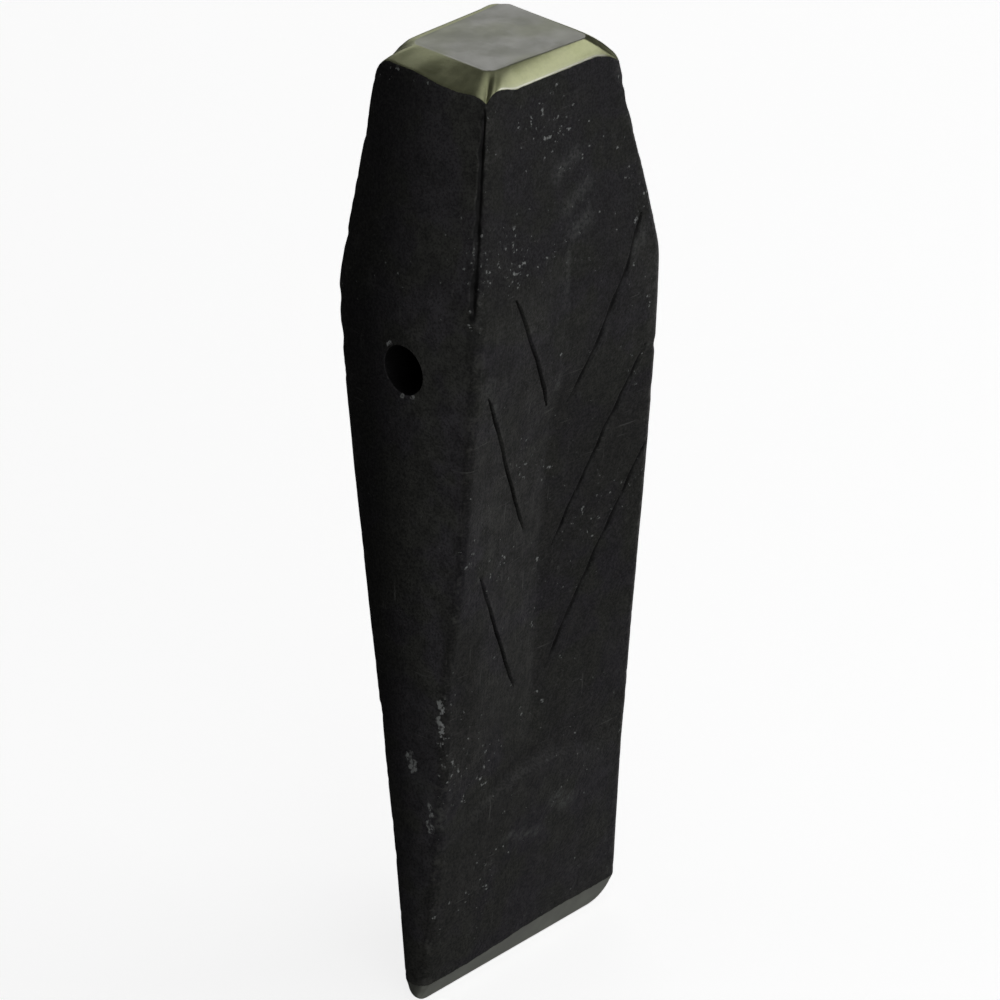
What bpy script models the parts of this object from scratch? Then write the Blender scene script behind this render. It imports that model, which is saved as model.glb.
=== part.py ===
"""Forged wood-splitting wedge: one solid steel body, standing on its cutting edge with the poll on top.

X runs along the cutting edge, Y through the thickness and Z up to the striking face.
The origin is the middle of the cutting edge. The two broad faces look along -Y and +Y and
are alike, and so are the two narrow sides, which look along -X and +X.
"""

import math

import bmesh
import bpy
from mathutils import Vector
from mathutils.bvhtree import BVHTree

MM = 0.001

# Overall sizes, in millimetres
LENGTH = 240.0
SHOULDER_HEIGHT = 187.0
BEVEL_HEIGHT = 235.0
GROUND_EDGE_HEIGHT = 7.0
WAIST_HEIGHT = 46.0

# Half widths along X at the cutting edge, the waist, the shoulder, under the poll bevel and on the poll
EDGE_HALF_WIDTH = 35.5
WAIST_HALF_WIDTH = 33.4
SHOULDER_HALF_WIDTH = 32.2
BEVEL_HALF_WIDTH = 22.2
POLL_HALF_WIDTH = 16.2
EDGE_CORNER_RADIUS = 6.0

# Half thicknesses along Y, measured at the long corners
EDGE_HALF_THICKNESS = 0.3
GROUND_EDGE_HALF_THICKNESS = 3.7
BLADE_HALF_THICKNESS = 8.0
SHOULDER_HALF_THICKNESS = 22.2
BEVEL_HALF_THICKNESS = 17.4
POLL_HALF_THICKNESS = 13.4
# The taper above the waist is straight, and eases off on a parabola up to the shoulder
TAPER_SLOPE = 0.115
TAPER_EASES_FROM = 130.0

# The hollow cheeks of the broad faces: depth of their centre crease low down, at its deepest and at the top
CREASE_LOW, CREASE_DEEP, CREASE_TOP = 1.6, 4.9, 1.0
CREASE_FROM, CREASE_DEEPEST, CREASE_FADE = 50.0, 140.0, 30.0
# Heights of the loops that follow the cheeks; the lowest one lies just above the arch
CHEEK_STATIONS = (54.0, 70.0, 90.0, 112.0, 133.0, 147.0, 160.0, 176.0)
CHEEK_TOP_PEAK = 193.0
CHEEK_TOP_MIDDLE = 186.5
BLADE_ARCH_HEIGHT = 50.0
BLADE_ARCH_DROP = 6.0
BLADE_ARCH_RAMP = 3.0
BLADE_ARCH_CORNER_SHARE = 0.6
BLADE_CROWN = 0.3
CHEEK_MIDDLE_SHARE = 0.55
SHOULDER_CORNER_DROP = 2.0

# The narrow sides are slightly full: how far their middle stands out, as a share of the half thickness
SIDE_FULLNESS = 1.0 / 13.0
BEVEL_SIDE_SHARE = 0.5

# Rounding of the four long corners
CORNER_RADIUS = 2.2
CORNER_SEGMENTS = 3

# Each loop round the body has twelve points; these four of them lie on the long corners
CORNER_COLUMNS = (2, 4, 8, 10)
# The rounded ends of the cutting edge, in degrees of their corner arc
EDGE_CORNER_ANGLES = (0.0, 25.0, 50.0)

# Plain hole through the narrow sides
HOLE_DIAMETER = 12.5
HOLE_HEIGHT = 169.0
HOLE_SEGMENTS = 48

# Herringbone grooves: three chevrons on each broad face, a few millimetres short of the centre line
GROOVE_INNER_X = 4.6
GROOVE_INNER_HEIGHTS = (79.5, 115.0, 154.0)
GROOVE_REACHES = (24.5, 23.0, 19.0)
GROOVE_RISE_PER_REACH = 2.02
GROOVE_HALF_WIDTH = 0.95
GROOVE_END_SHARE = 0.35
GROOVE_STEPS = 8

SHARP_ANGLE = 35.0
FORGED_BLACK = (0.022, 0.022, 0.021, 1.0)


def clear_scene():
    for thing in list(bpy.data.objects):
        bpy.data.objects.remove(thing, do_unlink=True)


def blend(points, height):
    """Value at a height on a polyline of (height, value) points."""
    if height <= points[0][0]:
        return points[0][1]
    for (low, a), (high, b) in zip(points, points[1:]):
        if height <= high:
            return a + (b - a) * (height - low) / (high - low)
    return points[-1][1]


def half_width(height):
    """Half width at a height, with the ends of the cutting edge rounded off."""
    straight = blend(
        (
            (0.0, EDGE_HALF_WIDTH),
            (WAIST_HEIGHT, WAIST_HALF_WIDTH),
            (SHOULDER_HEIGHT, SHOULDER_HALF_WIDTH),
            (BEVEL_HEIGHT, BEVEL_HALF_WIDTH),
            (LENGTH, POLL_HALF_WIDTH),
        ),
        height,
    )
    if height >= EDGE_CORNER_RADIUS:
        return straight
    rise = 1.0 - height / EDGE_CORNER_RADIUS
    return straight - EDGE_CORNER_RADIUS * (1.0 - math.sqrt(1.0 - rise * rise))


def half_thickness(height):
    """Half thickness at the long corners: ground edge, blade, full taper, shoulder and poll."""
    if height <= WAIST_HEIGHT or height >= SHOULDER_HEIGHT:
        return blend(
            (
                (0.0, EDGE_HALF_THICKNESS),
                (GROUND_EDGE_HEIGHT, GROUND_EDGE_HALF_THICKNESS),
                (WAIST_HEIGHT, BLADE_HALF_THICKNESS),
                (SHOULDER_HEIGHT, SHOULDER_HALF_THICKNESS),
                (BEVEL_HEIGHT, BEVEL_HALF_THICKNESS),
                (LENGTH, POLL_HALF_THICKNESS),
            ),
            height,
        )
    excess = BLADE_HALF_THICKNESS + TAPER_SLOPE * (SHOULDER_HEIGHT - WAIST_HEIGHT) - SHOULDER_HALF_THICKNESS
    eased = max(0.0, height - TAPER_EASES_FROM) / (SHOULDER_HEIGHT - TAPER_EASES_FROM)
    return BLADE_HALF_THICKNESS + TAPER_SLOPE * (height - WAIST_HEIGHT) - excess * eased**2


def crease_depth(height):
    """Depth of the centre crease: a quarter sine wave up to its deepest place, and a smooth fall above it."""
    if height < CREASE_DEEPEST:
        share = max(0.0, height - CREASE_FROM) / (CREASE_DEEPEST - CREASE_FROM)
        return CREASE_LOW + (CREASE_DEEP - CREASE_LOW) * math.sin(0.5 * math.pi * share)
    share = min(1.0, (height - CREASE_DEEPEST) / CREASE_FADE)
    return CREASE_DEEP + (CREASE_TOP - CREASE_DEEP) * share * share * (3.0 - 2.0 * share)


def side_bulge(height):
    """How far the middle of a narrow side stands out past its corners."""
    return half_thickness(height) * SIDE_FULLNESS


def ring(crease_height, middle_height, corner_height, depth, bulge_share=1.0):
    """One closed loop round the body, counted from the middle of the -Y face towards +X."""
    crease = (0.0, half_thickness(crease_height) - depth, crease_height)
    middle = (
        CHEEK_MIDDLE_SHARE * half_width(middle_height),
        half_thickness(middle_height) - depth * (1.0 - CHEEK_MIDDLE_SHARE),
        middle_height,
    )
    corner = (half_width(corner_height), half_thickness(corner_height), corner_height)
    side = (half_width(corner_height) + bulge_share * side_bulge(corner_height), 0.0, corner_height)
    quarter = (crease, middle, corner, side)
    right = [(x, -y, z) for x, y, z in quarter] + [quarter[2], quarter[1], quarter[0]]
    left = [(-x, y, z) for x, y, z in (quarter[1], quarter[2])]
    left += [(-side[0], 0.0, corner_height)]
    left += [(-x, -y, z) for x, y, z in (quarter[2], quarter[1])]
    return [Vector(point) * MM for point in right + left]


def level_ring(height, depth=0.0, bulge_share=1.0):
    return ring(height, height, height, depth, bulge_share)


def body_rings():
    """The loops from the cutting edge up to the striking face."""
    rings = []
    for angle in EDGE_CORNER_ANGLES:
        height = EDGE_CORNER_RADIUS * (1.0 - math.cos(math.radians(angle)))
        rings.append(level_ring(height, bulge_share=0.0))
    rings.append(level_ring(GROUND_EDGE_HEIGHT))
    rings.append(level_ring(0.5 * (GROUND_EDGE_HEIGHT + WAIST_HEIGHT), -BLADE_CROWN))
    arch_foot = BLADE_ARCH_HEIGHT - BLADE_ARCH_DROP
    arch_middle = BLADE_ARCH_HEIGHT - BLADE_ARCH_DROP * CHEEK_MIDDLE_SHARE**3
    rings.append(ring(BLADE_ARCH_HEIGHT, arch_middle, arch_foot, -BLADE_CROWN))
    upper = CHEEK_STATIONS[0]
    corner_ramp = BLADE_ARCH_CORNER_SHARE * BLADE_ARCH_RAMP
    rings.append(ring(upper, arch_middle + BLADE_ARCH_RAMP, arch_foot + corner_ramp, crease_depth(upper)))
    rings += [level_ring(height, crease_depth(height)) for height in CHEEK_STATIONS[1:]]
    rings.append(ring(CHEEK_TOP_PEAK, CHEEK_TOP_MIDDLE, SHOULDER_HEIGHT - SHOULDER_CORNER_DROP, 0.0))
    rings.append(level_ring(BEVEL_HEIGHT, bulge_share=BEVEL_SIDE_SHARE))
    rings.append(level_ring(LENGTH, bulge_share=0.0))
    return rings


def new_collection(name):
    collection = bpy.data.collections.new(name)
    bpy.context.scene.collection.children.link(collection)
    return collection


def loft(name, rings, collection):
    """A closed body through equal loops, with a flat cap at each end."""
    mesh = bpy.data.meshes.new(name)
    body = bpy.data.objects.new(name, mesh)
    collection.objects.link(body)
    work = bmesh.new()
    loops = [[work.verts.new(point) for point in points] for points in rings]
    count = len(loops[0])
    for low, high in zip(loops, loops[1:]):
        for i in range(count):
            j = (i + 1) % count
            work.faces.new((low[i], low[j], high[j], high[i]))
    work.faces.new(list(reversed(loops[0])))
    work.faces.new(loops[-1])
    bmesh.ops.recalc_face_normals(work, faces=work.faces)
    work.to_mesh(mesh)
    work.free()
    return body


def mark_long_corners(body, rings):
    """Gives the edges of the four long corners a bevel weight, from the ground edge to the poll."""
    per_ring = len(rings[0])
    first_row = len(EDGE_CORNER_ANGLES)
    corner_points = {
        row * per_ring + column
        for row in range(first_row, len(rings))
        for column in CORNER_COLUMNS
    }
    weights = body.data.attributes.new("bevel_weight_edge", "FLOAT", "EDGE")
    for edge in body.data.edges:
        a, b = edge.vertices
        climbs = abs(a - b) == per_ring
        weights.data[edge.index].value = 1.0 if climbs and {a, b} <= corner_points else 0.0


def round_corners(body):
    bevel = body.modifiers.new("long_corners", "BEVEL")
    bevel.limit_method = "WEIGHT"
    bevel.width = CORNER_RADIUS * MM
    bevel.segments = CORNER_SEGMENTS


def add_cutter(name, mesh, cutters):
    cutter = bpy.data.objects.new(name, mesh)
    cutter.hide_render = True
    cutter.display_type = "WIRE"
    cutters.objects.link(cutter)
    return cutter


def hole_cutter(cutters):
    """A rod along X, long enough to pass both narrow sides."""
    work = bmesh.new()
    bmesh.ops.create_cone(
        work,
        cap_ends=True,
        segments=HOLE_SEGMENTS,
        radius1=0.5 * HOLE_DIAMETER * MM,
        radius2=0.5 * HOLE_DIAMETER * MM,
        depth=3.0 * SHOULDER_HALF_WIDTH * MM,
    )
    mesh = bpy.data.meshes.new("hole_cutter")
    work.to_mesh(mesh)
    work.free()
    cutter = add_cutter("hole_cutter", mesh, cutters)
    cutter.rotation_euler = (0.0, math.radians(90.0), 0.0)
    cutter.location = (0.0, 0.0, HOLE_HEIGHT * MM)
    return cutter


def face_point(surface, across, height, facing):
    """The point on a broad face, which looks along facing * Y, at a distance across and a height."""
    start = Vector((across, facing * LENGTH, height)) * MM
    return surface.ray_cast(start, Vector((0.0, -facing, 0.0)))[0]


def groove_spindle(work, surface, hand, facing, low, reach):
    """A four-sided spindle that follows the face along one groove and is thinner at its ends."""
    stations = [index / GROOVE_STEPS for index in range(GROOVE_STEPS + 1)]
    centres = [
        face_point(
            surface,
            hand * (GROOVE_INNER_X + reach * share),
            low + GROOVE_RISE_PER_REACH * reach * share,
            facing,
        )
        for share in stations
    ]
    side = (centres[-1] - centres[0]).cross(Vector((0.0, facing, 0.0))).normalized()
    out = Vector((0.0, facing, 0.0))
    loops = []
    for share, centre in zip(stations, centres):
        size = GROOVE_END_SHARE if share in (0.0, 1.0) else 1.0
        offset = GROOVE_HALF_WIDTH * size * MM
        loops.append([work.verts.new(centre + offset * way) for way in (side, out, -side, -out)])
    for below, above in zip(loops, loops[1:]):
        for i in range(4):
            j = (i + 1) % 4
            work.faces.new((below[i], below[j], above[j], above[i]))
    work.faces.new(list(reversed(loops[0])))
    work.faces.new(loops[-1])


def groove_cutter(surface, cutters):
    """All twelve grooves: three chevrons on each of the two broad faces."""
    work = bmesh.new()
    for facing in (-1.0, 1.0):
        for hand in (-1.0, 1.0):
            for low, reach in zip(GROOVE_INNER_HEIGHTS, GROOVE_REACHES):
                groove_spindle(work, surface, hand, facing, low, reach)
    bmesh.ops.recalc_face_normals(work, faces=work.faces)
    mesh = bpy.data.meshes.new("groove_cutter")
    work.to_mesh(mesh)
    work.free()
    return add_cutter("groove_cutter", mesh, cutters)


def cut(body, cutter):
    boolean = body.modifiers.new(cutter.name, "BOOLEAN")
    boolean.operation = "DIFFERENCE"
    boolean.solver = "EXACT"
    boolean.object = cutter


def shade_round(body):
    """Smooth shading with a sharp line wherever two faces meet at more than SHARP_ANGLE."""
    group = bpy.data.node_groups.new("smooth_by_angle", "GeometryNodeTree")
    group.interface.new_socket("Geometry", in_out="INPUT", socket_type="NodeSocketGeometry")
    group.interface.new_socket("Geometry", in_out="OUTPUT", socket_type="NodeSocketGeometry")
    start, end = group.nodes.new("NodeGroupInput"), group.nodes.new("NodeGroupOutput")
    faces, edges = (group.nodes.new("GeometryNodeSetShadeSmooth") for _ in range(2))
    edges.domain = "EDGE"
    edges.inputs["Shade Smooth"].default_value = False
    angle = group.nodes.new("GeometryNodeInputMeshEdgeAngle")
    steep = group.nodes.new("FunctionNodeCompare")
    steep.inputs["B"].default_value = math.radians(SHARP_ANGLE)
    group.links.new(angle.outputs["Unsigned Angle"], steep.inputs["A"])
    group.links.new(steep.outputs["Result"], edges.inputs["Selection"])
    group.links.new(start.outputs[0], faces.inputs["Geometry"])
    group.links.new(faces.outputs[0], edges.inputs["Geometry"])
    group.links.new(edges.outputs[0], end.inputs[0])
    body.modifiers.new("smooth_by_angle", "NODES").node_group = group


def forged_material():
    material = bpy.data.materials.new("forged_black_steel")
    material.use_nodes = True
    shader = material.node_tree.nodes["Principled BSDF"]
    shader.inputs["Base Color"].default_value = FORGED_BLACK
    shader.inputs["Metallic"].default_value = 0.3
    shader.inputs["Roughness"].default_value = 0.5
    return material


def build_wedge():
    rings = body_rings()
    body = loft("splitting_wedge", rings, new_collection("splitting_wedge"))
    surface = BVHTree.FromObject(body, bpy.context.evaluated_depsgraph_get())
    mark_long_corners(body, rings)
    round_corners(body)
    cutters = new_collection("cutters")
    cut(body, groove_cutter(surface, cutters))
    cut(body, hole_cutter(cutters))
    shade_round(body)
    body.data.materials.append(forged_material())


clear_scene()
build_wedge()
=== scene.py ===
"""Looks for the forged wood-splitting wedge: one high-resolution body in place of the CAD solid.

The frame is the CAD's: X along the cutting edge, Y through the thickness, Z up to the poll.
All shape constants are in millimetres of a wedge NOMINAL_LENGTH long and are scaled to the CAD box.
"""

import math
import random

import bmesh
import bpy
import numpy as np
from mathutils import Matrix, Vector, kdtree, noise


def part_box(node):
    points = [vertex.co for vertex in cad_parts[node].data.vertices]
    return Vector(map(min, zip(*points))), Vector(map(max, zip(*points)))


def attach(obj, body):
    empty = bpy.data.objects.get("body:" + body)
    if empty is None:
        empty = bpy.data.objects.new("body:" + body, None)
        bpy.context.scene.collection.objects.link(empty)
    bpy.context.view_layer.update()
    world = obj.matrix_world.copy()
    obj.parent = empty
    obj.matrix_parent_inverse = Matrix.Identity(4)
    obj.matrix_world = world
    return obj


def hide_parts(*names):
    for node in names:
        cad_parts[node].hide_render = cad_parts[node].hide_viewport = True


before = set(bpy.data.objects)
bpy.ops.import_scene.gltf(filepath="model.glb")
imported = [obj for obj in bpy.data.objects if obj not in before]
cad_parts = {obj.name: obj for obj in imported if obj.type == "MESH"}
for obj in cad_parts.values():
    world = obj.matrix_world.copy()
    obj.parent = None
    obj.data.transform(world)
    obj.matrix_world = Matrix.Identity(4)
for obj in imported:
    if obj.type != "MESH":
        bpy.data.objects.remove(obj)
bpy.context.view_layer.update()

NODE = "splitting_wedge"
NOMINAL_LENGTH = 240.0
LOW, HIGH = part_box(NODE)
MM = (HIGH.z - LOW.z) / NOMINAL_LENGTH
# Real size over nominal size, for lengths that are given in metres
SCALE = 1000.0 * MM

# ---------------------------------------------------------------- shape of the forging
# Heights along Z: the shoulder, the lower border of the poll bevels, and the waist above the blade
SHOULDER = 187.0
BEVEL = 235.0
WAIST = 46.0
# Half widths along X, and how much the half width shrinks from the shoulder to the poll bevels
EDGE_WIDE, WAIST_WIDE, SHOULDER_WIDE, UPPER_NARROWING = 35.4, 33.4, 32.2, 10.0
# Radius of each end of the cutting edge, by the sign of X
EDGE_ROUND = {-1: 4.5, 1: 7.5}

# Half thicknesses along Y: cutting edge, the blade if it ran down unground, waist and shoulder
THICK_EDGE = 0.35
EDGE_END_THICK = 3.0
BLADE_THICK = 8.0
THICK_SHOULDER = 22.2
# How fast each broad face slopes in above the shoulder, and out along the straight taper below it
UPPER_SLOPE = 4.8 / 48.0
TAPER_SLOPE = 0.115
TAPER_EASES_FROM = 130.0
TAPER_SPREAD = 7.0

# How far the narrow sides' middle stands out, as a share of the half thickness
SIDE_FULLNESS = 1.0 / 10.0
# The rounded long corners, and the worn place on the front left one
CORNER_REACH = 2.3
WORN_CORNER_HEIGHT, WORN_CORNER_SPAN, WORN_CORNER_DEPTH = 90.0, 20.0, 1.7

# Ground cutting edge: the height of its upper border, which rises along X and waves a little
GROUND_HEIGHT, GROUND_RISE, GROUND_WAVE = 7.2, 0.025, 0.5

# Hollow cheeks: depth of the centre crease at the blade, at its deepest and at the shoulder
CREASE_LOW, CREASE_DEEP, CREASE_TOP = 1.6, 4.9, 1.0
CREASE_FROM, CREASE_DEEPEST, CREASE_FADE = 50.0, 140.0, 30.0
# How far from the centre line the hollow reaches, low down and at the shoulder
REACH_LOW, REACH_TOP = 33.0, 15.0
# The arch where the cheeks end above the blade
ARCH_MIDDLE, ARCH_TOP, ARCH_DROP, ARCH_HALF_WIDTH = 1.0, 53.5, 11.5, 36.0
ARCH_RAMP = 3.2
BLADE_CROWN = 0.45

# Herringbone grooves on the face that looks along -Y: three chevrons with a thinner, steeper left stroke
CHEVRON_HEIGHTS = (80.0, 114.0, 153.0)
RIGHT_START, RIGHT_REACHES, RIGHT_RISE, RIGHT_WIDTH = 3.7, (28.0, 24.0, 21.5), 1.95, 1.7
LEFT_STARTS, LEFT_LIFTS = (8.0, 8.0, 4.0), (0.0, 9.0, 2.0)
LEFT_REACHES, LEFT_RISE, LEFT_WIDTH = (16.5, 19.0, 14.5), 2.25, 1.05
GROOVE_DEPTH = 0.95

# Plain cross hole: its centre along Z and Y, and the radius within which the skin belongs to its wall
HOLE_HEIGHT = 169.6
HOLE_OFFSET = -1.2
HOLE_WALL = 6.4
HOLE_BORE_RADIUS = 6.0
# The worn mouth at each end of the hole: distance from the middle plane, and radius
HOLE_MOUTH = ((33.4, 6.02), (34.3, 6.1), (34.9, 6.25), (35.6, 6.5), (42.0, 7.0))

# Poll: corners of the flat, and the lower borders of its ground bevels
POLL_CORNERS = {
    (-1, -1): (16.5, 13.0),
    (1, -1): (15.0, 15.0),
    (1, 1): (19.0, 15.0),
    (-1, 1): (14.0, 13.5),
}
BEVEL_FRONT, BEVEL_FRONT_LIFT, BEVEL_FRONT_FALL = 235.7, 1.3, 1.8
BEVEL_SIDE, BEVEL_SIDE_LIFT, BEVEL_SIDE_FALL = 236.3, 1.8, 1.2
BEVEL_FAR_SIDE = 234.3
# How far the ground bevels and their corner facets bulge past a flat chamfer
BEVEL_FRONT_FULLNESS, BEVEL_BACK_FULLNESS, BEVEL_LEFT_FULLNESS, BEVEL_RIGHT_FULLNESS = 0.2, 1.2, 0.1, 0.5
BEVEL_CORNER_FULLNESS = {(-1, -1): 0.1, (1, -1): 0.25, (1, 1): 0.5, (-1, 1): 0.5}
BEVEL_TIP_DROP = 1.8
# Length of the bevels in the path coordinate, and the flat across each corner of the poll
BEVEL_PATH = 8.0
POLL_CORNER_CUT = 2.1

# Grid of the skin: quads per half broad face, per corner and per half narrow side
FACE_COLUMNS, CORNER_COLUMNS, SIDE_COLUMNS = 26, 10, 11
FACE_END, CORNER_END = 0.5, 0.6
CORNER_MIDDLE = 0.5 * (FACE_END + CORNER_END)
# Rows that crowd together at the two kinks of the poll bevels
BEVEL_ROWS = (234.2, 234.6, 234.85, 235.15, 235.4, 235.9, 236.9, 238.1, 239.4, 240.7, 241.8, 242.4, 242.75)
# The flat grid is built this much wider than the column coordinate
U_SCALE = 100.0


def smooth(x):
    x = np.clip(x, 0.0, 1.0)
    return x * x * (3.0 - 2.0 * x)


def perlin(points, scale, seed=0.0):
    """Perlin noise from -1 to 1 at each point; scale is the size of its lumps in millimetres."""
    offset = Vector((seed * 17.3, seed * 9.1, seed * 5.7))
    return np.array([noise.noise(Vector(p) / scale + offset) for p in points])


def soft_min(a, b, k):
    return 0.5 * (a + b - np.sqrt((a - b) ** 2 + k * k))


def half_width(z, sx):
    """Half width at the long corners, with each end of the cutting edge rounded by its own radius."""
    blade = EDGE_WIDE - (EDGE_WIDE - WAIST_WIDE) * z / WAIST
    shank = WAIST_WIDE - (WAIST_WIDE - SHOULDER_WIDE) * (z - WAIST) / (SHOULDER - WAIST)
    upper = SHOULDER_WIDE - UPPER_NARROWING * (z - SHOULDER) / (BEVEL - SHOULDER)
    straight = soft_min(-soft_min(-blade, -shank, 0.5), upper, 0.5)
    radius = np.where(sx < 0, EDGE_ROUND[-1], EDGE_ROUND[1])
    rise = np.clip(1.0 - z / radius, 0.0, 1.0)
    return straight - radius * (1.0 - np.sqrt(1.0 - rise * rise))


def straight_taper(z):
    """Half thickness of the blade, then a straight taper that eases off towards the shoulder."""
    blade = EDGE_END_THICK + (BLADE_THICK - EDGE_END_THICK) * z / WAIST
    excess = BLADE_THICK + TAPER_SLOPE * (SHOULDER - WAIST) - THICK_SHOULDER
    eased = np.clip((z - TAPER_EASES_FROM) / (SHOULDER - TAPER_EASES_FROM), 0.0, None)
    return np.where(z < WAIST, blade, BLADE_THICK + TAPER_SLOPE * (z - WAIST) - excess * eased * eased)


def taper(z):
    """Half thickness below the shoulder, with the change at the top of the blade rounded."""
    steps = (-1.0, -0.5, 0.0, 0.5, 1.0)
    return sum(straight_taper(z + step * TAPER_SPREAD) for step in steps) / len(steps)


def crease_depth(z):
    """Depth of the centre crease: a quarter sine wave up to its deepest place, then a smooth fall."""
    turn = np.clip((z - CREASE_FROM) / (CREASE_DEEPEST - CREASE_FROM), 0.0, 1.0) * (math.pi / 2.0)
    rise = CREASE_LOW + (CREASE_DEEP - CREASE_LOW) * np.sin(turn)
    fall = CREASE_DEEP + (CREASE_TOP - CREASE_DEEP) * smooth((z - CREASE_DEEPEST) / CREASE_FADE)
    return np.where(z < CREASE_DEEPEST, rise, fall)


def arch_height(x):
    return ARCH_TOP - ARCH_DROP * ((x - ARCH_MIDDLE) / ARCH_HALF_WIDTH) ** 2


def ground_border(x):
    return GROUND_HEIGHT + GROUND_RISE * x + GROUND_WAVE * np.cos((x - 7.0) / 10.0)


def hollow(x, z):
    """How far a broad face lies behind the plane of its long corners."""
    reach = REACH_LOW + (REACH_TOP - REACH_LOW) * smooth((z - 150.0) / 45.0)
    cheek = crease_depth(z) * np.clip(1.0 - np.abs(x) / reach, 0.0, 1.0)
    cheek = cheek - 0.35 * smooth((z - 165.0) / 18.0) * smooth((np.abs(x) - 12.0) / 8.0)
    crown = -BLADE_CROWN * np.clip(1.0 - (x / 34.0) ** 2, 0.0, 1.0)
    above = smooth((z - arch_height(x)) / ARCH_RAMP)
    return cheek * above + crown * (1.0 - above)


def worn_corner(z):
    return WORN_CORNER_DEPTH * np.exp(-((z - WORN_CORNER_HEIGHT) / WORN_CORNER_SPAN) ** 2)


def face_depth(x, z, sy):
    """Distance of a broad face from the middle plane: long taper, shoulder slope and ground edge."""
    upper = THICK_SHOULDER - (z - SHOULDER) * UPPER_SLOPE
    forged = soft_min(taper(z) - hollow(x, z), upper, 0.22)
    forged = forged - np.where(sy < 0, worn_corner(z) * smooth((-x - 21.0) / 12.0), 0.0)
    border = ground_border(x)
    at_border = taper(border) - hollow(x, border)
    ground = THICK_EDGE + (at_border - THICK_EDGE) * z / border
    return np.where(z < border, ground, forged)


def forged_point(sx, sy, w, z, reach, weight):
    """A point of the forging at quadrant signs sx, sy, place w in the quadrant and height z."""
    a = half_width(z, sx)
    b = face_depth(a * sx, z, sy)
    reach = np.minimum(reach, 0.8 * b)
    x_face = np.clip(w / FACE_END, 0.0, 1.0) * (a - reach)
    y_face = face_depth(x_face * sx, z, sy)
    y_side = np.clip((1.0 - w) / (1.0 - CORNER_END), 0.0, 1.0) * (b - reach)
    x_side = a + SIDE_FULLNESS * (b * b - y_side * y_side) / b
    t = np.clip((w - FACE_END) / (CORNER_END - FACE_END), 0.0, 1.0)
    x_corner = conic(t, x_face, a, x_side, weight)
    y_corner = conic(t, y_face, b, y_side, weight)
    x = np.where(w <= FACE_END, x_face, np.where(w >= CORNER_END, x_side, x_corner))
    y = np.where(w <= FACE_END, y_face, np.where(w >= CORNER_END, y_side, y_corner))
    return sx * x, sy * y


def quadrant(u):
    """Signs of X and Y, and the place in the quadrant: 0 in mid broad face, 1 in mid narrow side."""
    u = np.mod(u, 4.0)
    q = np.floor(u)
    part = u - q
    w = np.where(q % 2 == 0, part, 1.0 - part)
    return np.where(q < 2, 1.0, -1.0), np.where((q == 0) | (q == 3), -1.0, 1.0), w


def bevel_low(sx, sy, w, x, y):
    """Height of the poll bevels' lower border."""
    across = x * np.where(sy < 0, 1.0, -1.0)
    front = BEVEL_FRONT + BEVEL_FRONT_LIFT * smooth((-across - 12.0) / 6.0)
    front = front - BEVEL_FRONT_FALL * smooth((across - 14.0) / 8.0)
    near_side = BEVEL_SIDE + BEVEL_SIDE_LIFT * smooth((y + 10.0) / 16.0)
    near_side = near_side - BEVEL_SIDE_FALL * smooth((y - 12.0) / 6.0)
    side = np.where(sx < 0, near_side, BEVEL_FAR_SIDE)
    t = smooth((w - FACE_END) / (CORNER_END - FACE_END))
    tip = np.clip(1.0 - np.abs(w - CORNER_MIDDLE) / 0.05, 0.0, 1.0)
    return front * (1.0 - t) + side * t - BEVEL_TIP_DROP * tip


def bevel_fullness(sx, sy, w):
    """How far the ground bevels and their corner facets stand out from a flat chamfer."""
    on_face = np.where(sy < 0, BEVEL_FRONT_FULLNESS, BEVEL_BACK_FULLNESS)
    on_side = np.where(sx < 0, BEVEL_LEFT_FULLNESS, BEVEL_RIGHT_FULLNESS)
    plain = np.where(w < CORNER_MIDDLE, on_face, on_side)
    cornered = np.zeros(len(w))
    for (a, b), corner in BEVEL_CORNER_FULLNESS.items():
        cornered = np.where((sx == a) & (sy == b), corner, cornered)
    near = np.exp(-((w - CORNER_MIDDLE) / 0.09) ** 2)
    return plain + (cornered - plain) * near


def conic(t, start, corner, end, weight):
    """Point of a conic arc that leaves start and reaches end, pulled towards corner by weight."""
    k0, k1, k2 = (1.0 - t) ** 2, 2.0 * weight * t * (1.0 - t), t * t
    return (k0 * start + k1 * corner + k2 * end) / (k0 + k1 + k2)


def poll_corner(sx, sy):
    """Corner of the poll flat in each quadrant, signs included."""
    x, y = np.zeros(len(sx)), np.zeros(len(sx))
    for (a, b), (cx, cy) in POLL_CORNERS.items():
        here = (sx == a) & (sy == b)
        x, y = np.where(here, a * cx, x), np.where(here, b * cy, y)
    return np.stack([x, y])


def poll_point(sx, sy, w):
    """A point of the poll flat's outline, with a small flat across each corner."""
    corner = poll_corner(sx, sy)
    face_middle = 0.5 * (corner + poll_corner(-sx, sy))
    side_middle = 0.5 * (corner + poll_corner(sx, -sy))
    face_end = 1.0 - POLL_CORNER_CUT / np.linalg.norm(corner - face_middle, axis=0)
    side_end = 1.0 - POLL_CORNER_CUT / np.linalg.norm(corner - side_middle, axis=0)
    f = np.clip(w / FACE_END, 0.0, 1.0) * face_end
    g = np.clip((1.0 - w) / (1.0 - CORNER_END), 0.0, 1.0) * side_end
    on_face = face_middle + (corner - face_middle) * f
    on_side = side_middle + (corner - side_middle) * g
    t = np.clip((w - FACE_END) / (CORNER_END - FACE_END), 0.0, 1.0)
    on_corner = conic(t, on_face, corner, on_side, 0.25)
    return np.where(w <= FACE_END, on_face, np.where(w >= CORNER_END, on_side, on_corner))


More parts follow.
